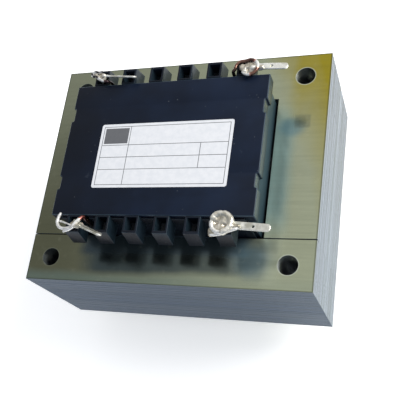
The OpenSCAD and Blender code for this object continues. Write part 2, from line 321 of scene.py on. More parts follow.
def steel_material():
    """Varnished electrical steel: oxide tints on the faces, with painted shade, shadow, reflection and highlights; cut
    edges in lines, painted as lit and shaded.
    """
    g = Graph("lamination_steel_finish")
    x, y, z = g.x, g.y, g.z
    wide = g.noise(28, 3, 0.55)
    drift = g.math("SUBTRACT", wide, 0.5)
    fine = g.noise(420, 4, 0.6)

    # ---- faces of the sheets, seen at the front and the rear
    left = lin(146, 150, 126)
    right_ = lin(170, 176, 149)
    face = g.mix(g.ramp(g.add(x, g.mul(drift, 0.02)), -0.050, 0.050), left, right_)
    # painted shade: darker olive towards one corner (-X, -Y) and along that end, as in the cover's shade
    thick = g.mul(g.ramp(g.add(x, g.mul(drift, 0.012)), -0.045, 0.022, 1.0, 0.0), g.ramp(g.add(y, g.mul(drift, 0.012)), -0.030, 0.045, 1.0, 0.0))
    face = g.mix(thick, face, lin(104, 105, 83))
    # cool film along the front edge
    cool = g.mul(g.ramp(g.add(y, g.mul(drift, 0.004)), -0.0425, -0.0385, 1.0, 0.0), g.ramp(x, -0.005, 0.035, 0.55, 0.15))
    face = g.mix(cool, face, lin(122, 142, 134))
    # straw oxide that deepens to gold at one corner
    straw = g.add(g.add(g.mul(y, 20.0), g.mul(x, 60.0)), g.mul(drift, 0.9))
    straw = g.math("SUBTRACT", straw, 2.68, clamp=True)
    gold = g.mul(g.spot(46, 45.5, 12, 7, 0.3, g.mul(drift, 0.8)), 0.75)
    corner = g.mul(g.ramp(g.add(x, g.mul(drift, 0.006)), 0.0355, 0.0430), g.ramp(g.add(y, g.mul(drift, 0.010)), 0.008, 0.036))
    gold = g.math("MAXIMUM", gold, g.mul(corner, 0.90))
    face = g.mix(g.math("MAXIMUM", straw, gold), face, lin(163, 149, 44))
    # cool blue oxide beside the window
    blue = g.mul(g.band(g.add(x, g.mul(drift, 0.012)), 0.0310, 0.0404, 0.0030), g.band(y, -0.022, 0.021, 0.007))
    face = g.mix(g.mul(blue, 0.60), face, lin(98, 142, 150))
    face = g.mix(g.mul(g.spot(40.5, 15, 6.0, 5.0, 0.3, g.mul(drift, 0.8)), 0.60), face, lin(88, 132, 146))
    # painted shadow and reflection of the terminal blocks: dark round the foot of the bobbin, under the blocks
    foot = g.mul(g.band(g.add(x, g.mul(drift, 0.006)), -0.0305, 0.0300, 0.0030), g.ramp(g.add(y, g.mul(drift, 0.003)), -0.0345, -0.0315))
    foot = g.mul(foot, g.ramp(y, 0.0, 0.010, 1.0, 0.0))
    face = g.mix(g.mul(foot, 0.84), face, lin(34, 54, 70))
    # painted shadow and reflection of the terminal blocks, further out below them
    shadow_below_blocks = g.mul(g.band(g.add(x, g.mul(drift, 0.012)), -0.0275, 0.0275, 0.0055), g.ramp(g.add(y, g.mul(drift, 0.005)), -0.0412, -0.0380))
    shadow_below_blocks = g.mul(g.mul(shadow_below_blocks, g.ramp(x, -0.018, 0.030, 0.92, 0.80)), g.ramp(y, 0.0, 0.010, 1.0, 0.0))
    face = g.mix(shadow_below_blocks, face, lin(62, 75, 79))
    # painted reflection: a teal patch where the last block is mirrored in the face
    teal_reflection = g.mul(g.spot(31.8, -33, 9.5, 9, 0.10, g.mul(drift, 2.0)), 0.85)
    face = g.mix(teal_reflection, face, lin(78, 102, 113))
    # punched edges: a fine dark burr round the outside, and round each hole a painted highlight, stronger towards +X
    hx = g.math("SUBTRACT", g.math("ABSOLUTE", x), 2.5 * UNIT * MM)
    hy = g.math("SUBTRACT", g.math("ABSOLUTE", y), 2.0 * UNIT * MM)
    from_hole = g.math("SQRT", g.add(g.mul(hx, hx), g.mul(hy, hy)))
    rim = g.math("MAXIMUM", g.ramp(g.math("ABSOLUTE", x), 3 * UNIT * MM - 0.00075, 3 * UNIT * MM - 0.00025),
                 g.ramp(g.math("ABSOLUTE", y), 2.5 * UNIT * MM - 0.00065, 2.5 * UNIT * MM - 0.00020))
    face = g.mix(g.mul(rim, 0.55), face, lin(54, 62, 44))
    hole_highlight = g.mul(g.ramp(from_hole, 0.00345, 0.00378, 1.0, 0.0), g.ramp(x, -0.030, 0.045, 0.12, 0.75))
    face = g.mix(hole_highlight, face, lin(206, 212, 196))
    # a handling mark, darker, with a sharp side
    mark = g.mul(g.band(x, 0.0415, 0.0468, 0.0004), g.band(y, 0.0145, 0.0195, 0.0005))
    face = g.mix(g.mul(mark, 0.35), face, lin(96, 104, 92))
    # lengthwise rolling grain and varnish runs
    grain = g.noise(1.0, 4, 0.6, g.stretched(55, 900, 300))
    face = g.mix(g.ramp(grain, 0.30, 0.72, 0.0, 0.10), face, lin(60, 64, 52))
    face = g.mix(g.ramp(fine, 0.55, 0.80, 0.0, 0.10), face, lin(205, 205, 180))

    # ---- cut edges: each sheet a little different, grouped in bands
    sheet = g.math("FLOOR", g.mul(g.add(z, 0.00001), 2000.0))
    one = g.random_of(sheet)
    group = g.random_of(g.math("FLOOR", g.mul(z, 400.0)))
    tone = g.add(g.mul(one, 0.65), g.mul(group, 0.35))
    streak = g.noise(1.0, 3, 0.6, g.stretched(35, 35, 2100))
    tone = g.add(g.mul(tone, 0.55), g.mul(streak, 0.45))
    # painted light and shade: the long cut edges (facing ±Y) are coloured as in shade, the short ones (facing ±X) as
    # lit
    shaded_long_edge = g.mix(g.ramp(tone, 0.15, 0.85, smooth=False), lin(10, 24, 46), lin(40, 58, 88))
    lit_short_edge = g.mix(g.ramp(tone, 0.15, 0.85, smooth=False), lin(80, 82, 92), lin(166, 174, 182))
    ax = g.math("ABSOLUTE", g.nx)
    cut = g.mix(g.ramp(ax, 0.45, 0.75), shaded_long_edge, lit_short_edge)
    rust = g.mul(g.ramp(g.noise(120, 4, 0.65), 0.60, 0.78), 0.20)
    cut = g.mix(rust, cut, lin(110, 96, 84))
    # the uppermost sheet catches the light
    cut = g.mix(g.ramp(z, (Z_FRONT - 0.75) * MM, (Z_FRONT - 0.35) * MM, 0.0, 0.45), cut, g.mix(g.ramp(ax, 0.45, 0.75), lin(104, 118, 138), lin(196, 204, 208)))

    flat = g.ramp(g.math("ABSOLUTE", g.nz), 0.5, 0.8)
    color = g.mix(flat, cut, face)
    # painted shade on the walls of the mounting holes
    wall = g.mul(g.ramp(from_hole, 0.0036, 0.0038, 1.0, 0.0), g.math("SUBTRACT", 1.0, flat))
    color = g.mix(g.mul(wall, 0.92), color, lin(14, 20, 34))
    # painted highlight on the hole walls near the front that face +X and +Y, towards the light
    lit_lip = g.mul(g.ramp(z, (Z_FRONT - 4.5) * MM, (Z_FRONT - 1.2) * MM), g.ramp(g.add(g.mul(g.nx, 0.85), g.mul(g.ny, 0.50)), 0.45, 0.85))
    color = g.mix(g.mul(g.mul(wall, lit_lip), 0.9), color, lin(190, 198, 196))
    rough_face = g.add(g.ramp(wide, 0.3, 0.7, 0.13, 0.19), g.mul(fine, 0.05))
    rough_cut = g.add(0.34, g.mul(tone, 0.14))
    rough = g.math("ADD", g.mul(flat, rough_face), g.mul(g.math("SUBTRACT", 1.0, flat), rough_cut))
    calm = g.mul(g.band(x, 0.0340, 0.0405, 0.0035), g.band(y, -0.040, 0.022, 0.006))
    matt = g.math("MAXIMUM", g.add(g.mul(teal_reflection, 0.60), g.mul(foot, 0.35)), g.mul(calm, 0.58))
    metal = g.math("SUBTRACT", g.ramp(g.noise(60, 2), 0.3, 0.7, 0.88, 0.95), g.mul(matt, flat), clamp=True)
    # the punched edges are varnished and far less like a mirror
    metal = g.add(g.mul(metal, flat), g.mul(g.math("SUBTRACT", 1.0, flat), 0.42))
    height = g.add(g.mul(grain, 0.6), g.mul(g.noise(70, 2, 0.5), 1.2))
    g.bsdf.inputs["Specular Tint"].default_value = (0.70, 0.85, 1.0, 1.0)
    return g.set(color=color, rough=rough, metal=metal, coat=0.10, coat_rough=0.12,
                 normal=g.bump(height, 0.00002, 0.5))


def plastic_material(name, tint_dark, tint_light, wear=0.5, edge=0.5, side=0.5, shade_end=0.0, rim_shade_and_sheen=False):
    """Moulded navy-black thermoplastic: fine spark texture, handling smudges, with painted light and shade on its ends,
    edges and walls.
    """
    g = Graph(name)
    wide = g.noise(38, 4, 0.6)
    fine = g.noise(900, 3, 0.6)
    flow = g.noise(1.0, 3, 0.6, g.stretched(30, 140, 90))
    color = g.mix(g.ramp(wide, 0.30, 0.72), tint_dark, tint_light)
    color = g.mix(g.ramp(flow, 0.52, 0.75, 0.0, 0.35), color, tint_light)
    # painted shade: darker towards the -X end, away from the light
    if shade_end:
        color = g.mix(g.ramp(g.add(g.x, g.mul(g.math("SUBTRACT", wide, 0.5), 0.02)), -0.040, 0.006, shade_end, 0.0), color, lin(5, 9, 18))
    # faint pale rubs and dust
    rub = g.mul(g.ramp(g.noise(150, 4, 0.7), 0.62, 0.80), g.ramp(g.noise(22, 2), 0.45, 0.65))
    color = g.mix(g.mul(rub, 0.30 * wear), color, lin(120, 130, 140))
    dust = g.ramp(g.cells(700), 0.05, 0.16, 1.0, 0.0)
    pick = g.ramp(g.noise(260, 2), 0.60, 0.68)
    color = g.mix(g.mul(g.mul(dust, pick), 0.35 * wear), color, lin(165, 170, 172))
    # paler edges, partly wear and partly painted highlight, and side walls painted lighter as if lit, with streaks
    top = g.math("MAXIMUM", g.math("MAXIMUM", g.math("ABSOLUTE", g.nx), g.math("ABSOLUTE", g.ny)), g.math("ABSOLUTE", g.nz))
    worn_and_highlit_edge = g.mul(g.ramp(top, 0.90, 0.985, 1.0, 0.0), g.ramp(g.noise(90, 3), 0.30, 0.60, 0.35, 1.0))
    color = g.mix(g.mul(worn_and_highlit_edge, edge), color, lin(74, 92, 104))
    # painted light: walls facing ±X are lighter, in streaks
    lit_side_streaks = g.noise(1.0, 3, 0.6, g.stretched(900, 900, 60))
    color = g.mix(g.mul(g.ramp(g.math("ABSOLUTE", g.nx), 0.6, 0.9), g.ramp(lit_side_streaks, 0.3, 0.7, side * 0.7, side)), color, lin(44, 62, 70))
    # painted sheen on the recessed wing faces and a painted shadow line under the rim, down the short sides
    if rim_shade_and_sheen:
        far = g.math("ABSOLUTE", g.math("SUBTRACT", g.z, Z_MID * MM))
        wing = g.mul(g.band(g.math("ABSOLUTE", g.x), 0.0332, 0.0346, 0.0002), g.ramp(g.math("ABSOLUTE", g.nx), 0.6, 0.9))
        color = g.mix(g.mul(wing, 0.8), color, lin(54, 74, 82))
        # painted shadow: a dark line just below the rim's lower edge
        line = g.mul(g.band(far, (Z_TOP - Z_MID - 5.4) * MM, (Z_TOP - Z_MID - 3.9) * MM, 0.0002), g.ramp(g.math("ABSOLUTE", g.nx), 0.3, 0.6))
        color = g.mix(g.mul(line, 0.85), color, lin(8, 13, 18))
    rough = g.add(g.ramp(wide, 0.3, 0.7, 0.36, 0.50), g.mul(rub, 0.10))
    n = g.bump(fine, 0.00003, 0.35)
    n = g.bump(g.noise(45, 2), 0.00010, 0.25, n)
    return g.set(color=color, rough=rough, specular=0.20, normal=n)


def tin_material(name, bright, dull, stain, lumpy=1.0, low=None, metal=0.8, soil=0.0):
    """Tinned metal and solder: mottled silver with flux stains."""
    g = Graph(name)
    a = g.noise(420, 3, 0.5)
    b = g.noise(170, 3, 0.55)
    color = g.mix(g.ramp(a, 0.30, 0.66), dull, bright)
    color = g.mix(g.mul(g.ramp(b, 0.54, 0.72), 0.70), color, stain)
    if low is not None:
        hollow = g.mul(g.ramp(g.add(g.z, g.mul(g.math("SUBTRACT", b, 0.5), 0.0006)), low - 0.0004, low + 0.0004, 1.0, 0.0), g.ramp(g.nz, 0.3, 0.8))
        color = g.mix(g.mul(hollow, 0.75), color, lin(166, 156, 138))
    # the near side is duller, with flux left on it
    near = g.mul(g.ramp(g.y, -0.010, 0.0, 1.0, 0.0), g.ramp(g.noise(310, 2, 0.5), 0.36, 0.60))
    color = g.mix(g.mul(near, soil), color, lin(140, 138, 118))
    pits = g.ramp(g.cells(900), 0.02, 0.16, 1.0, 0.0)
    color = g.mix(g.mul(pits, g.ramp(b, 0.45, 0.6, 0.0, 0.55)), color, lin(60, 55, 50))
    rough = g.add(g.ramp(a, 0.3, 0.7, 0.16, 0.34), g.mul(pits, 0.2))
    n = g.bump(a, 0.00006 * lumpy, 0.6)
    n = g.bump(b, 0.00022 * lumpy, 0.5, n)
    return g.set(color=color, rough=rough, metal=metal, normal=n)


def wire_material(name, enamel_a, enamel_b, shade_below_z, scorch=0.0):
    """Enamelled copper that turns to bright tinned metal where it is soldered."""
    g = Graph(name)
    at = g.new("ShaderNodeAttribute")
    at.attribute_name = "tinned"
    tin = at.outputs["Fac"]
    a = g.noise(380, 4, 0.6)
    b = g.noise(900, 3, 0.6)
    enamel = g.mix(g.ramp(a, 0.3, 0.7), enamel_a, enamel_b)
    # painted shade: the wire is dark below this height, as where it stands in shadow
    enamel = g.mix(g.ramp(g.z, shade_below_z - 0.0008, shade_below_z + 0.0006, 0.88, 0.0), enamel, lin(20, 16, 20))
    bare = g.mix(g.ramp(a, 0.35, 0.65), lin(176, 118, 102), lin(208, 156, 140))
    silver = g.mix(g.ramp(b, 0.3, 0.7), lin(206, 205, 200), lin(248, 247, 243))
    silver = g.mix(g.ramp(a, 0.60, 0.78, 0.0, 0.6), silver, lin(120, 110, 96))
    # flux and heat left the far end darker
    if scorch:
        burnt = g.mul(g.ramp(g.y, 0.0, 0.010), scorch)
        enamel = g.mix(g.mul(burnt, 0.9), enamel, lin(40, 32, 36))
        bare = g.mix(g.mul(burnt, 0.9), bare, lin(74, 62, 62))
        silver = g.mix(g.mul(burnt, g.ramp(g.noise(620, 2, 0.5), 0.44, 0.56)), silver, lin(44, 42, 44))
    edge = g.add(tin, g.mul(g.math("SUBTRACT", a, 0.5), 0.45))
    color = g.mix(g.ramp(edge, 0.28, 0.42), enamel, bare)
    color = g.mix(g.ramp(edge, 0.52, 0.68), color, silver)
    rough = g.add(g.ramp(edge, 0.3, 0.7, 0.22, 0.26), g.mul(b, 0.08))
    n = g.bump(b, 0.00004, 0.4)
    return g.set(color=color, rough=rough, metal=g.ramp(edge, 0.5, 0.7, 0.80, 0.62), coat=0.3, coat_rough=0.15, normal=n)


def film_material(name, base, light):
    """Overlapped turns of insulation film and tape round the winding."""
    g = Graph(name)
    turns = g.math("FRACT", g.mul(g.add(g.y, g.mul(g.x, 0.05)), 1000 / 6.0))
    seam = g.ramp(turns, 0.02, 0.10, 1.0, 0.0)
    fibre = g.noise(1.0, 3, 0.6, g.stretched(900, 120, 900))
    color = g.mix(g.ramp(fibre, 0.3, 0.7), base, light)
    color = g.mix(g.mul(seam, 0.5), color, lin(120, 96, 44))
    n = g.bump(g.add(turns, g.mul(fibre, 0.3)), 0.00008, 0.6)
    return g.set(color=color, rough=g.ramp(fibre, 0.3, 0.7, 0.30, 0.45), coat=0.3, coat_rough=0.2, normal=n)


def label_material(box):
    """Blank rating-plate form: white film with a thin frame, rules and one filled heading cell."""
    x0, y0, _, x1, y1, _ = [v * MM for v in box]
    g = Graph("label_film_finish")
    x, y = g.x, g.y
    w, h = x1 - x0, y1 - y0
    paper = g.noise(500, 3, 0.6)
    color = g.mix(g.ramp(paper, 0.3, 0.7), lin(218, 220, 224), lin(226, 227, 230))
    color = g.mix(g.mul(g.ramp(g.noise(22, 2), 0.50, 0.75), 0.25), color, lin(212, 214, 216))
    ink = None

    def rule(mask):
        nonlocal ink
        ink = mask if ink is None else g.math("MAXIMUM", ink, mask)

    t, s = 0.00011, 0.00003
    inset = 0.0011
    inside = g.mul(g.band(x, x0 + inset - t, x1 - inset + t, s), g.band(y, y0 + inset - t, y1 - inset + t, s))
    core = g.mul(g.band(x, x0 + inset + t, x1 - inset - t, s), g.band(y, y0 + inset + t, y1 - inset - t, s))
    rule(g.math("SUBTRACT", inside, core, clamp=True))
    in_x = g.band(x, x0 + inset, x1 - inset, s)
    for share in (0.66, 0.47, 0.28):
        rule(g.mul(g.band(y, y0 + h * share - t, y0 + h * share + t, s), in_x))
    for share, top, bottom in ((0.235, 0.955, 0.045), (0.78, 0.66, 0.28)):
        rule(g.mul(g.band(x, x0 + w * share - t, x0 + w * share + t, s), g.band(y, y0 + h * bottom, y0 + h * top, s)))
    # the one filled cell
    rule(g.mul(g.band(x, x0 + inset + 0.0006, x0 + w * 0.235 - 0.0006, s),
               g.band(y, y0 + h * 0.66 + 0.0006, y1 - inset - 0.0006, s)))
    color = g.mix(g.mul(ink, 0.86), color, lin(38, 40, 46))
    n = g.bump(paper, 0.00001, 0.4)
    return g.set(color=color, rough=g.ramp(paper, 0.3, 0.7, 0.30, 0.42), specular=0.4, normal=n)


def floor_material():
    g = Graph("studio_floor_finish")
    a = g.noise(6, 2, 0.5)
    color = g.mix(g.ramp(a, 0.3, 0.7), lin(243, 243, 243), lin(247, 247, 247))
    g.bsdf.inputs["Emission Color"].default_value = (1.0, 1.0, 1.0, 1.0)
    g.bsdf.inputs["Emission Strength"].default_value = 0.50
    return g.set(color=color, rough=0.75, specular=0.1)


STEEL = steel_material()
COVER = plastic_material("cover_plastic_finish", lin(4, 15, 32), lin(11, 26, 48), 0.8, 0.50, 0.9, 0.75, True)
BOBBIN = plastic_material("bobbin_plastic_finish", lin(5, 10, 20), lin(14, 21, 34), 0.8, 0.40, 0.35)
LUG = tin_material("tinned_lug_finish", lin(240, 240, 233), lin(212, 211, 202), lin(158, 152, 126), 0.6, None, 0.70, 0.55)
SOLDER = tin_material("solder_finish", lin(246, 243, 234), lin(202, 196, 180), lin(158, 144, 116), 1.0, 0.0820, 0.72, 0.35)
PRIMARY_WIRE = wire_material("primary_wire_finish", lin(98, 50, 44), lin(148, 88, 76), 0.0804, 1.0)
SECONDARY_WIRE = wire_material("secondary_wire_finish", lin(80, 50, 42), lin(146, 106, 88), 0.0819)
INNER_FILM = film_material("inner_film_finish", lin(196, 168, 92), lin(214, 190, 120))
OUTER_FILM = film_material("outer_film_finish", lin(206, 180, 100), lin(226, 204, 134))
LABEL = label_material(span("rating_label"))
FLOOR = floor_material()


# ------------------------------------------------------------------- core ----

def pulled_in(loop, by):
    """The loop moved into the material by the given distance. The material lies on its left."""
    out = []
    n = len(loop)
    for i in range(n):
        a, b, c = Vector(loop[i - 1]), Vector(loop[i]), Vector(loop[(i + 1) % n])
        e1, e2 = (b - a).normalized(), (c - b).normalized()
        n1, n2 = Vector((-e1.y, e1.x)), Vector((-e2.y, e2.x))
        k = 1.0 + n1.dot(n2)
        out.append(b + (n1 + n2) * (by / max(k, 0.3)))
    return out


def circle(cx, cy, r, n, clockwise=True):
    s = -1 if clockwise else 1
    return [(cx + r * math.cos(s * 2 * math.pi * i / n), cy + r * math.sin(s * 2 * math.pi * i / n)) for i in range(n)]


def sheet(verts, faces, loops, z0, z1, chamfer):
    """One sheet with chamfered edges, added to verts and faces."""
    rings = []
    for z, by in ((z0, chamfer), (z0 + chamfer, 0.0), (z1 - chamfer, 0.0), (z1, chamfer)):
        ring = []
        for loop in loops:
            start = len(verts)
            pts = pulled_in(loop, by) if by else [Vector(p) for p in loop]
            verts.extend((p.x, p.y, z) for p in pts)
            ring.append((start, len(pts)))
        rings.append(ring)
    for a, b in zip(rings, rings[1:]):
        for (sa, n), (sb, _) in zip(a, b):
            for i in range(n):
                j = (i + 1) % n
                faces.append((sa + i, sa + j, sb + j, sb + i))
    for ring, upward in ((rings[0], False), (rings[-1], True)):
        flat = [v for s, n in ring for v in range(s, s + n)]
        tris = tessellate_polygon([[Vector((verts[v][0], verts[v][1], 0)) for v in range(s, s + n)] for s, n in ring])
        for t in tris:
            p = [verts[flat[i]] for i in t]
            area = (p[1][0] - p[0][0]) * (p[2][1] - p[0][1]) - (p[2][0] - p[0][0]) * (p[1][1] - p[0][1])
            ids = [flat[i] for i in t]
            if (area > 0) != upward:
                ids.reverse()
            faces.append(tuple(ids))


def core_pieces():
    rng = random.Random(7)
    u = UNIT
    hx, hy, r = 2.5 * u, 2.0 * u, 3.3
    gap = 0.1
    shapes = {"e_a": ([], []), "i_a": ([], []), "e_b": ([], []), "i_b": ([], [])}
    per = 5
    pitch = PACKET / per
    for k in range(PACKETS):
        kind = "a" if k % 2 else "b"
        s = 1.0 if kind == "a" else -1.0
        for j in range(per):
            z0 = Z_REAR + k * PACKET + j * pitch + 0.012
            z1 = z0 + pitch - 0.024
            last = k == PACKETS - 1 and j == per - 1
            lap = 0.0 if last else 1.0
            dx, dy = rng.uniform(-0.035, 0.035) * lap, rng.uniform(-0.03, 0.03) * lap
            dxi, dyi = rng.uniform(-0.035, 0.035) * lap, rng.uniform(-0.03, 0.03) * lap
            ins = 0.035
            open_by = 0.22 if k == PACKETS - 1 else 0.0
            e = [(-3 * u + ins, -1.5 * u + gap + open_by), (-2 * u, -1.5 * u + gap + open_by), (-2 * u, 1.5 * u), (-u, 1.5 * u),
                 (-u, -1.5 * u + gap), (u, -1.5 * u + gap), (u, 1.5 * u), (2 * u, 1.5 * u),
                 (2 * u, -1.5 * u + gap + open_by), (3 * u - ins, -1.5 * u + gap + open_by), (3 * u - ins, 2.5 * u - ins), (-3 * u + ins, 2.5 * u - ins)]
            i = [(-3 * u + ins, -2.5 * u + ins), (3 * u - ins, -2.5 * u + ins), (3 * u - ins, -1.5 * u), (-3 * u + ins, -1.5 * u)]
            e_loops = [e, circle(-hx, hy, r, 40), circle(hx, hy, r, 40)]
            i_loops = [i, circle(-hx, -hy, r, 40), circle(hx, -hy, r, 40)]
            e_loops = [[(s * px + dx, s * py + dy) for px, py in loop] for loop in e_loops]
            i_loops = [[(s * px + dxi, s * py + dyi) for px, py in loop] for loop in i_loops]
            c = 0.07 if last else 0.045
            sheet(*shapes["e_" + kind], e_loops, z0, z1, c)
            sheet(*shapes["i_" + kind], i_loops, z0, z1, c)
    for key, (verts, faces) in shapes.items():
        shape, kind = key.split("_")
        ob = new_object(f"{shape}_sheets_{kind}", verts, faces)
        put(ob, STEEL, f"{shape}_laminations_{kind}")


core_pieces()


# ----------------------------------------------------------------- bobbin ----

def bobbin_piece():
    ob = clean_copy("bobbin", "bobbin_moulding")
    # stem slits in the sockets that carry no lug, like the ones that do
    pitch = 10.7
    cuts = []
    for sy in (-1, 1):
        yc = sy * 28.3
        for i in range(1, 5):
            xc = (i - 2.5) * pitch
            cuts.append((xc - 0.45, yc - 1.35, Z_TOP - 6.6, xc + 0.45, yc + 1.35, Z_TOP - 5.0))
    cut_with(ob, boxes("slit_tool", cuts))
    round_edges(ob, 0.16, 2)
    shade(ob, 32)
    return put(ob, BOBBIN, "bobbin")


bobbin_piece()


# ----------------------------------------------------------------- covers ----

def cover_piece(node, name):
    ob = clean_copy(node, name)
    round_edges(ob, 0.38, 3)
    shade(ob, 32)
    return put(ob, COVER, node)


cover_piece("front_cover", "front_cover_moulding")
cover_piece("rear_cover", "rear_cover_moulding")


# ------------------------------------------------------------------ label ----

def label_piece():
    x0, y0, z0, x1, y1, z1 = span("rating_label")
    r, n = 0.8, 8
    loop = []
    for cx, cy, a0 in ((x1 - r, y0 + r, -90), (x1 - r, y1 - r, 0), (x0 + r, y1 - r, 90), (x0 + r, y0 + r, 180)):
        for k in range(n + 1):
            a = math.radians(a0 + 90 * k / n)
            loop.append((cx + r * math.cos(a), cy + r * math.sin(a)))
    verts, faces = [], []
    sheet(verts, faces, [loop], z0 + 0.005, z1 - 0.005, 0.03)
    ob = new_object("rating_label_film", verts, faces)
    return put(ob, LABEL, "rating_label")


label_piece()


# ----------------------------------------------------------------- sweeps ----

def catmull(points, k):
    out = []
    n = len(points)
    p = [Vector(q) for q in points]
    for i in range(n - 1):
        a, b, c, d = p[max(0, i - 1)], p[i], p[i + 1], p[min(n - 1, i + 2)]
        for j in range(k):
            t = j / k
            out.append(0.5 * ((2 * b) + (c - a) * t + (2 * a - 5 * b + 4 * c - d) * t * t + (3 * b - a - 3 * c + d) * t ** 3))
    out.append(p[-1])
    return out


def sweep(verts, faces, values, path, radius, tin, sides=14):
    """A round wire along path. radius and tin are functions of the share of its length."""
    n = len(path)
    lengths = [0.0]
    for a, b in zip(path, path[1:]):
        lengths.append(lengths[-1] + (b - a).length)
    total = lengths[-1]
    normal = Vector((0.31, 0.17, 0.93))
    start = len(verts)
    for i, p in enumerate(path):
        t = (path[min(n - 1, i + 1)] - path[max(0, i - 1)]).normalized()
        normal = (normal - t * normal.dot(t)).normalized()
        side = t.cross(normal)
        share = lengths[i] / total
        r = radius(share)
        for j in range(sides):
            a = 2 * math.pi * j / sides
            verts.append(p + (normal * math.cos(a) + side * math.sin(a)) * r)
            values.append(tin(share))
    for i in range(n - 1):
        for j in range(sides):
            a, b = start + i * sides + j, start + i * sides + (j + 1) % sides
            faces.append((a, b, b + sides, a + sides))
    for i, sign in ((0, -1), (n - 1, 1)):
        p = path[i]
        t = (path[min(n - 1, i + 1)] - path[max(0, i - 1)]).normalized()
        verts.append(p + t * sign * radius(i / (n - 1)) * 0.35)
        values.append(tin(i / (n - 1)))
        c = len(verts) - 1
        for j in range(sides):
            a, b = start + i * sides + j, start + i * sides + (j + 1) % sides
            faces.append((b, a, c) if sign < 0 else (a, b, c))


def wound_ring(verts, faces, values, box, thick, corner, pitch):
    """Rectangular coil whose outer side shows the turns of wire; the inner side is plain."""
    x0, y0, z0, x1, y1, z1 = box
    hx, hz = (x1 - x0) / 2, (z1 - z0) / 2
    cx, cz = (x0 + x1) / 2, (z0 + z1) / 2
    turns = int((y1 - y0) / pitch)
    pitch = (y1 - y0) / turns
    per = 6
    ys = [y0 + (y1 - y0) * i / (turns * per) for i in range(turns * per + 1)]
    dip = [pitch * 0.5 * (1 - math.sqrt(max(0.0, 1 - (2 * ((i % per) / per) - 1) ** 2 * 0.96))) for i in range(turns * per + 1)]

    def outline(inset):
        r = max(0.3, corner - inset)
        pts = []
        for sx, sz, a0 in ((1, 1, 0), (-1, 1, 90), (-1, -1, 180), (1, -1, 270)):
            for k in range(9):
                a = math.radians(a0 + 90 * k / 8)
                pts.append((cx + sx * (hx - corner) + (r if r > 0.3 else 0.3) * math.cos(a), cz + sz * (hz - corner) + r * math.sin(a)))
        return pts

    start = len(verts)
    cols = len(outline(0))
    # outer surface with turns, then the inner surface back
    rows = []
    for y, d in zip(ys, dip):
        rows.append([(px, y, pz) for px, pz in outline(min(d, 0.5))])
    back = max(0.3, thick - 0.3)
    inner = []
    for px, pz in outline(0):
        vx, vz = px - cx, pz - cz
        inner.append((cx + math.copysign(min(abs(vx), hx - back), vx), cz + math.copysign(min(abs(vz), hz - back), vz)))
    rows.append([(px, ys[-1], pz) for px, pz in inner])
    rows.append([(px, ys[0], pz) for px, pz in inner])
    for row in rows:
        verts.extend(row)
        values.extend([0.0] * cols)
    m = len(rows)
    for i in range(m):
        for j in range(cols):
            a, b = start + i * cols + j, start + i * cols + (j + 1) % cols
            c, d = start + ((i + 1) % m) * cols + (j + 1) % cols, start + ((i + 1) % m) * cols + j
            faces.append((a, b, c, d))


def winding_piece(name, node, ring_box, thick, corner, pitch, wires, material):
    verts, faces, values = [], [], []
    wound_ring(verts, faces, values, ring_box, thick, corner, pitch)
    for pts, wire_d, tin in wires:
        ends = step_up(0.90, 1.0, 1.0, 0.66)
        sweep(verts, faces, values, catmull(pts, 8), lambda s, d=wire_d, e=ends: d / 2 * e(s), tin)
    ob = new_object(name, verts, faces)
    at = ob.data.attributes.new("tinned", "FLOAT", "POINT")
    if len(at.data) == len(values):
        at.data.foreach_set("value", values)
    shade(ob, 60)
    return put(ob, material, node)


LUG_X, LUG_Y = 26.75, 28.3
LEAD_X = 22.95
PRIMARY_NEAR = [(-22.45, -22.6, 66.6), (-22.95, -25.3, 66.6), (-22.95, -26.6, 67.8), (-22.95, -26.65, 70.6), (-22.95, -26.65, 78.2),
                (-23.05, -26.35, 80.5), (-23.7, -27.4, 81.35), (-24.75, -28.8, 81.65), (-25.85, -30.4, 81.65),
                (-27.45, -31.3, 81.4), (-29.15, -31.9, 81.2)]
PRIMARY_HOOK = [(-25.85, -30.3, 81.6), (-28.25, -30.9, 81.5), (-30.65, -30.5, 81.3), (-32.05, -28.7, 81.2), (-31.95, -26.8, 81.2),
                (-31.25, -25.2, 81.4)]
PRIMARY_STRAND = [(-31.3, -28.2, 81.5), (-30.0, -28.6, 81.85), (-28.2, -29.2, 82.0), (-26.3, -29.9, 82.0), (-25.2, -30.2, 81.9)]
PRIMARY_FAR = [(-22.45, 22.6, 66.6), (-22.95, 25.3, 66.6), (-22.95, 26.6, 67.8), (-22.95, 26.65, 70.6), (-22.95, 26.65, 78.6),
               (-23.75, 26.2, 81.0), (-25.25, 26.3, 81.5), (-26.95, 27.1, 81.65), (-28.45, 28.2, 81.6), (-29.85, 28.6, 81.5),
               (-30.25, 29.6, 81.5), (-29.05, 30.05, 81.7), (-27.55, 29.75, 81.8), (-26.05, 30.0, 81.9)]
LOOP_NEAR, R_NEAR = (LUG_X - 0.65, -LUG_Y + 0.1), 3.15
LOOP_FAR, R_FAR = (LUG_X + 2.15, LUG_Y - 0.9), 2.85
RING_Z = 81.6


def arc(centre, r, angles, sign):
    return [(centre[0] + r * math.cos(math.radians(a)), centre[1] + sign * r * math.sin(math.radians(a)), RING_Z) for a in angles]


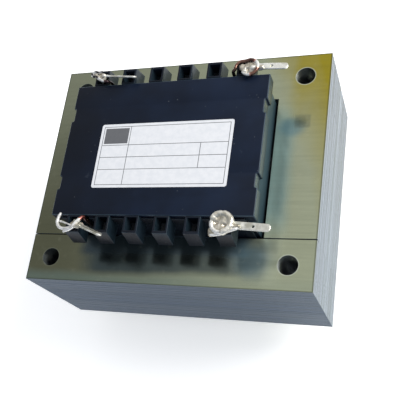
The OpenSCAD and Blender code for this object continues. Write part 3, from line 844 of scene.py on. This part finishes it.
SECONDARY_NEAR = [(22.95, -22.6, 73.05), (22.95, -25.1, 73.05), (22.95, -26.6, 73.55), (22.95, -26.8, 75.05), (22.95, -26.8, 78.5),
                  (22.95, -27.0, 80.5)] + arc(LOOP_NEAR, R_NEAR, range(178, -101, -32), -1)
SECONDARY_EDGE = [(22.9, -31.9, 80.95), (24.3, -31.95, 81.05), (26.2, -31.7, 81.3), (28.2, -31.0, 81.45), (30.2, -30.2, 81.3), (31.6, -29.7, 81.15)]
SECONDARY_FAR = [(22.95, 22.6, 73.05), (22.95, 25.1, 73.05), (22.95, 26.6, 73.55), (22.95, 26.75, 75.05), (22.95, 26.7, 78.8),
                 (23.3, 26.7, 80.75), (24.0, 27.2, 81.4), (24.4, 28.6, 81.6), (25.65, 29.7, 81.6)] + arc(LOOP_FAR, R_FAR, range(118, -151, -29), 1)


def step_up(a, b, lo=0.0, hi=1.0):
    def value(s):
        t = min(1.0, max(0.0, (s - a) / (b - a)))
        return lo + (hi - lo) * t * t * (3 - 2 * t)
    return value


tube_x, tube_z = UNIT + 0.3 + 1.5, (Z_FRONT - Z_REAR) / 2 + 0.3 + 1.5


def ring_box(offset):
    return (-tube_x - offset, -24.1, Z_MID - tube_z - offset, tube_x + offset, 24.1, Z_MID + tube_z + offset)


winding_piece("primary_winding_wire", "primary_winding", ring_box(5.25), 5.2, 6.25, 1.3,
              [(PRIMARY_NEAR, 1.3, step_up(0.68, 0.76)), (PRIMARY_HOOK, 1.12, step_up(-1, 0)), (PRIMARY_STRAND, 0.62, step_up(-1, 0)),
               (PRIMARY_FAR, 1.1, step_up(0.58, 0.68))], PRIMARY_WIRE)


def far_tin(s):
    """The far turn is bare copper, with tin on its side by the tab and at its end."""
    return max(step_up(0.64, 0.72)(s) * step_up(0.76, 0.81, 0.85, 0.05)(s), step_up(0.87, 0.93)(s))


winding_piece("secondary_winding_wire", "secondary_winding", ring_box(11.25), 5.4, 12.25, 1.6,
              [(SECONDARY_NEAR, 1.4, step_up(0.36, 0.42)), (SECONDARY_EDGE, 1.1, step_up(-1, 0)), (SECONDARY_FAR, 1.18, far_tin)], SECONDARY_WIRE)

for node, material in (("interwinding_insulation", INNER_FILM), ("outer_insulation", OUTER_FILM)):
    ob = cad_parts[node]
    ob.data.materials.clear()
    ob.data.materials.append(material)


# ------------------------------------------------------------------- lugs ----

def lug_piece(name, node, sx, sy, turn_deg, roll_deg, rise, root, reach):
    """A stamped lug: stem in its slit, a bend, the root, and a twisted tab with a hole."""
    w, t = 2.6, 0.78
    base = Z_TOP
    h = 0.05 + t / 2
    rb = t / 2 + 0.3
    line = []          # (x, z, direction angle) of the strip's middle line
    z_low = -6.3
    z_bend = h - rb
    for i in range(10):
        line.append((0.0, z_low + (z_bend - z_low) * i / 10, 90.0))
    for i in range(9):
        a = 180 - 90 * i / 8
        line.append((rb + rb * math.cos(math.radians(a)), z_bend + rb * math.sin(math.radians(a)), a - 90))
    x0 = rb
    steps = 56
    for i in range(1, steps + 1):
        line.append((x0 + (reach - x0) * i / steps, h, 0.0))
    turned = math.radians(turn_deg)
    sides = 20
    verts, faces, rings = [], [], 0
    for x, z, ang in line:
        on_tab = min(1.0, max(0.0, (x - root + 0.9) / 1.8))
        on_tab = on_tab * on_tab * (3 - 2 * on_tab)
        roll = math.radians(roll_deg) * on_tab
        lift = rise * on_tab
        half = w / 2
        d = x - (reach - w / 2)
        if d > 0:
            half = math.sqrt(max(0.0, (w / 2) ** 2 - d * d))
            half = max(half, 0.02)
        # a pressed groove near the root and a slight dish along the tab
        groove = 0.16 * math.exp(-((x - root - 0.6) / 0.45) ** 2)
        thick = t / 2 * (1.0 - groove) * (0.72 if d > 1.1 else 1.0)
        a = math.radians(ang)
        tangent = Vector((math.cos(a), 0, math.sin(a)))
        out = Vector((-math.sin(a), 0, math.cos(a)))
        for j in range(sides):
            q = 2 * math.pi * j / sides
            cy = math.copysign(abs(math.cos(q)) ** 0.35, math.cos(q)) * half
            cz = math.copysign(abs(math.sin(q)) ** 0.55, math.sin(q)) * thick
            dish = -0.10 * (1 - (cy / (w / 2)) ** 2) * on_tab if cz > 0 else 0.0
            p = Vector((x, 0, z)) + out * (cz + dish) + Vector((0, cy, 0))
            if on_tab > 0:
                dy, dz = p.y, p.z - h
                p.y = dy * math.cos(roll) - dz * math.sin(roll)
                p.z = h + dy * math.sin(roll) + dz * math.cos(roll) + lift
            # the stem stays square in its slit: only what is above it is turned
            k = min(1.0, max(0.0, (p.z + 1.2) / 1.0)) if x < 0.5 else 1.0
            c, s_ = math.cos(turned * k), math.sin(turned * k)
            verts.append((sx * LUG_X + p.x * c - p.y * s_, sy * LUG_Y + p.x * s_ + p.y * c, base + p.z))
        rings += 1
    for i in range(rings - 1):
        for j in range(sides):
            a_, b_ = i * sides + j, i * sides + (j + 1) % sides
            faces.append((a_, b_, b_ + sides, a_ + sides))
    faces.append(tuple(range(sides - 1, -1, -1)))
    faces.append(tuple(range((rings - 1) * sides, rings * sides)))
    ob = new_object(name, verts, faces)
    bm = bmesh.new()
    bm.from_mesh(ob.data)
    bmesh.ops.recalc_face_normals(bm, faces=bm.faces)
    bm.to_mesh(ob.data)
    bm.free()
    # the hole through the tab
    roll = math.radians(roll_deg)
    hole = []
    for i in range(24):
        a = 2 * math.pi * i / 24
        for zz in (-2.0, 2.0):
            px, py, pz = reach - 5.5 + 0.5 * math.cos(a), 0.5 * math.sin(a), zz
            qy, qz = py * math.cos(roll) - pz * math.sin(roll), py * math.sin(roll) + pz * math.cos(roll)
            c, s_ = math.cos(turned), math.sin(turned)
            hole.append((sx * LUG_X + px * c - qy * s_, sy * LUG_Y + px * s_ + qy * c, base + h + rise + qz))
    hf = [tuple(range(0, 48, 2))[::-1], tuple(range(1, 48, 2))]
    hf += [(2 * i, (2 * i + 2) % 48, (2 * i + 3) % 48, 2 * i + 1) for i in range(24)]
    tool = new_object("hole_tool", hole, hf)
    cut_with(ob, tool)
    shade(ob, 40)
    return put(ob, LUG, node)


lug_piece("primary_lug_bottom", "primary_lug_1", -1, -1, -21, -64, 1.05, 4.1, 13.3)
lug_piece("primary_lug_top", "primary_lug_2", -1, 1, -6, -62, 1.25, 2.5, 14.7)
lug_piece("secondary_lug_bottom", "secondary_lug_1", 1, -1, -4, 0, 0.0, 6.0, 14.9)
lug_piece("secondary_lug_top", "secondary_lug_2", 1, 1, -4, -12, 0.4, 6.6, 15.1)


# ----------------------------------------------------------------- solder ----

def blob_mesh(parts):
    """Ellipsoids (cx, cy, cz, rx, ry, rz) joined in one mesh."""
    bm = bmesh.new()
    for cx, cy, cz, rx, ry, rz in parts:
        got = bmesh.ops.create_icosphere(bm, subdivisions=3, radius=1.0)
        for v in got["verts"]:
            v.co = Vector((cx + v.co.x * rx, cy + v.co.y * ry, cz + v.co.z * rz)) * MM
    return bm


def solder_piece(name, node, parts, seed, lump=0.16, voxel=0.16, floor_z=None, pits=()):
    bm = blob_mesh(parts)
    me = bpy.data.meshes.new(name)
    bm.to_mesh(me)
    bm.free()
    ob = bpy.data.objects.new(name, me)
    scene.collection.objects.link(ob)
    m = ob.modifiers.new("melt", "REMESH")
    m.mode = "VOXEL"
    m.voxel_size = voxel * MM
    m.use_smooth_shade = True
    m = ob.modifiers.new("flow", "SMOOTH")
    m.factor = 0.6
    m.iterations = 10
    baked(ob)
    me = ob.data
    me.update()
    lo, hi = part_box(node)
    for v in me.vertices:
        p = v.co / MM + Vector((seed * 3.7, seed * 1.3, 0))
        d = noise.fractal(p * 0.55, 0.8, 2.0, 3) * lump + noise.noise(p * 1.9) * lump * 0.45
        q = v.co + v.normal * d * MM
        for px, py, pr, depth in pits:
            r = math.hypot(q.x / MM - px, q.y / MM - py)
            if r < pr and v.normal.z > 0.0:
                q.z -= depth * MM * (1 - (r / pr) ** 2) ** 1.5
        if floor_z is not None:
            q.z = max(q.z, floor_z * MM)
        v.co = q
    me.update()
    shade(ob, 75)
    return put(ob, SOLDER, node)


def ring_parts(cx, cy, cz, R, r, a0, a1, n, squash=1.0, grow=0.0):
    out = []
    for i in range(n + 1):
        a = math.radians(a0 + (a1 - a0) * i / n)
        k = r * (1 + grow * math.sin(3 * a))
        out.append((cx + R * math.cos(a), cy + R * math.sin(a), cz, k, k, k * squash))
    return out


def line_parts(a, b, r, n):
    a, b = Vector(a), Vector(b)
    return [(*(a.lerp(b, i / n)), r, r, r) for i in range(n + 1)]


# the near secondary joint buries the whole turn of wire: a raised rim on the
# side by the tab, and a sunken middle that slopes away to one corner
bx, by = LOOP_NEAR
solder_piece("secondary_joint_bottom", "secondary_solder_1",
             ring_parts(bx, by, 81.65, 3.2, 1.0, -75, 150, 30, 1.0, 0.05)
             + [(bx - 0.1, by - 0.3, 81.0, 3.9, 3.7, 1.05), (23.6, -30.6, 80.95, 1.7, 1.7, 0.95), (bx + 0.6, by + 0.8, 81.3, 2.2, 2.0, 1.0),
                (22.95, -31.7, 80.8, 0.9, 0.8, 0.7)]
             + line_parts((29.2, -29.2, 81.2), (31.6, -29.2, 81.0), 0.85, 6),
             3, 0.15, 0.17, 80.15, ((bx - 1.5, by - 0.2, 1.0, 0.6), (bx + 1.3, by - 0.9, 0.8, 0.55), (bx - 0.2, by + 1.2, 1.3, 0.35)))

# the far secondary joint only fills the middle of its turn
tx, ty = LOOP_FAR
solder_piece("secondary_joint_top", "secondary_solder_2",
             [(tx - 0.1, ty, 80.9, 2.6, 2.3, 1.1), (tx - 1.0, ty - 0.5, 81.4, 1.2, 1.2, 0.9), (tx + 1.0, ty - 0.2, 81.4, 1.2, 1.1, 0.95),
              (tx + 0.1, ty + 0.8, 81.2, 1.4, 0.9, 0.8), (tx - 2.5, ty + 0.2, 81.3, 1.0, 1.3, 0.9), (tx - 1.7, ty - 1.4, 81.3, 1.1, 1.0, 0.9)]
             + line_parts((tx + 1.8, ty, 81.4), (tx + 4.2, ty - 0.1, 81.2), 0.75, 6),
             5, 0.15, 0.15, 80.02, ((tx - 0.5, ty - 0.9, 0.8, 0.8),))

# near primary joint: solder runs along the crossing of wire and lug
solder_piece("primary_joint_bottom", "primary_solder_1",
             [(-25.9, -29.4, 80.75, 1.6, 1.3, 0.9), (-25.5, -29.9, 81.5, 0.85, 0.8, 0.7)]
             + line_parts((-24.9, -29.1, 81.6), (-26.6, -30.8, 81.45), 0.68, 8)
             + line_parts((-25.6, -30.1, 81.6), (-23.0, -29.9, 81.7), 0.60, 8),
             9, 0.08, 0.12, 80.02)

# far primary joint: small lumps on the folded wire
solder_piece("primary_joint_top", "primary_solder_2",
             [(-26.7, 28.4, 80.8, 1.7, 1.5, 0.9), (-27.9, 28.1, 81.4, 0.8, 0.7, 0.65), (-25.5, 28.5, 81.4, 0.9, 0.75, 0.75), (-28.9, 29.4, 81.3, 0.7, 0.6, 0.6)],
             13, 0.12, 0.13, 80.02)


# ------------------------------------------------- floor, light and world ----

def studio():
    n = 24
    size = 1.6
    verts = [(-size + 2 * size * i / n, -size + 2 * size * j / n, 0.0) for j in range(n + 1) for i in range(n + 1)]
    faces = [(j * (n + 1) + i, j * (n + 1) + i + 1, (j + 1) * (n + 1) + i + 1, (j + 1) * (n + 1) + i) for j in range(n) for i in range(n)]
    floor = new_object("studio_floor", verts, faces, 1.0)
    floor.location = (0, 0, -0.0002)
    floor.data.materials.append(FLOOR)

    def area(name, at, to, size_x, size_y, power, color):
        data = bpy.data.lights.new(name, "AREA")
        data.shape = "RECTANGLE"
        data.size, data.size_y = size_x, size_y
        data.energy = power
        data.color = color
        ob = bpy.data.objects.new(name, data)
        scene.collection.objects.link(ob)
        ob.location = at
        ob.rotation_euler = (Vector(to) - Vector(at)).to_track_quat("-Z", "Y").to_euler()
        return ob

    area("key_light", (0.66, 0.30, 0.66), (0, 0, 0.04), 0.50, 0.50, 8.0, (1.0, 0.99, 0.97))

    world = bpy.data.worlds.new("studio_world")
    scene.world = world
    world.use_nodes = True
    t = world.node_tree
    t.nodes.clear()
    out = t.nodes.new("ShaderNodeOutputWorld")
    bg = t.nodes.new("ShaderNodeBackground")
    tc = t.nodes.new("ShaderNodeTexCoord")
    sep = t.nodes.new("ShaderNodeSeparateXYZ")
    r = t.nodes.new("ShaderNodeMapRange")
    r.interpolation_type = "SMOOTHSTEP"
    mix = t.nodes.new("ShaderNodeMix")
    mix.data_type = "RGBA"
    s = {k.identifier: k for k in mix.inputs}
    t.links.new(tc.outputs["Generated"], sep.inputs[0])
    t.links.new(sep.outputs[0], r.inputs["Value"])
    r.inputs["From Min"].default_value = -0.90
    r.inputs["From Max"].default_value = 0.20
    t.links.new(r.outputs[0], s["Factor_Float"])
    s["A_Color"].default_value = (0.50, 0.52, 0.55, 1)
    s["B_Color"].default_value = (1.0, 1.0, 1.0, 1)
    r2 = t.nodes.new("ShaderNodeMapRange")
    r2.interpolation_type = "SMOOTHSTEP"
    t.links.new(sep.outputs[1], r2.inputs["Value"])
    r2.inputs["From Min"].default_value = -0.80
    r2.inputs["From Max"].default_value = 0.15
    dim = t.nodes.new("ShaderNodeMix")
    dim.data_type = "RGBA"
    dim.blend_type = "MIX"
    d = {k.identifier: k for k in dim.inputs}
    t.links.new(r2.outputs[0], d["Factor_Float"])
    d["A_Color"].default_value = (0.34, 0.40, 0.50, 1)
    t.links.new([k for k in mix.outputs if k.identifier == "Result_Color"][0], d["B_Color"])
    t.links.new([k for k in dim.outputs if k.identifier == "Result_Color"][0], bg.inputs[0])
    bg.inputs[1].default_value = 0.86
    t.links.new(bg.outputs[0], out.inputs[0])


studio()
scene.view_settings.view_transform = "Standard"
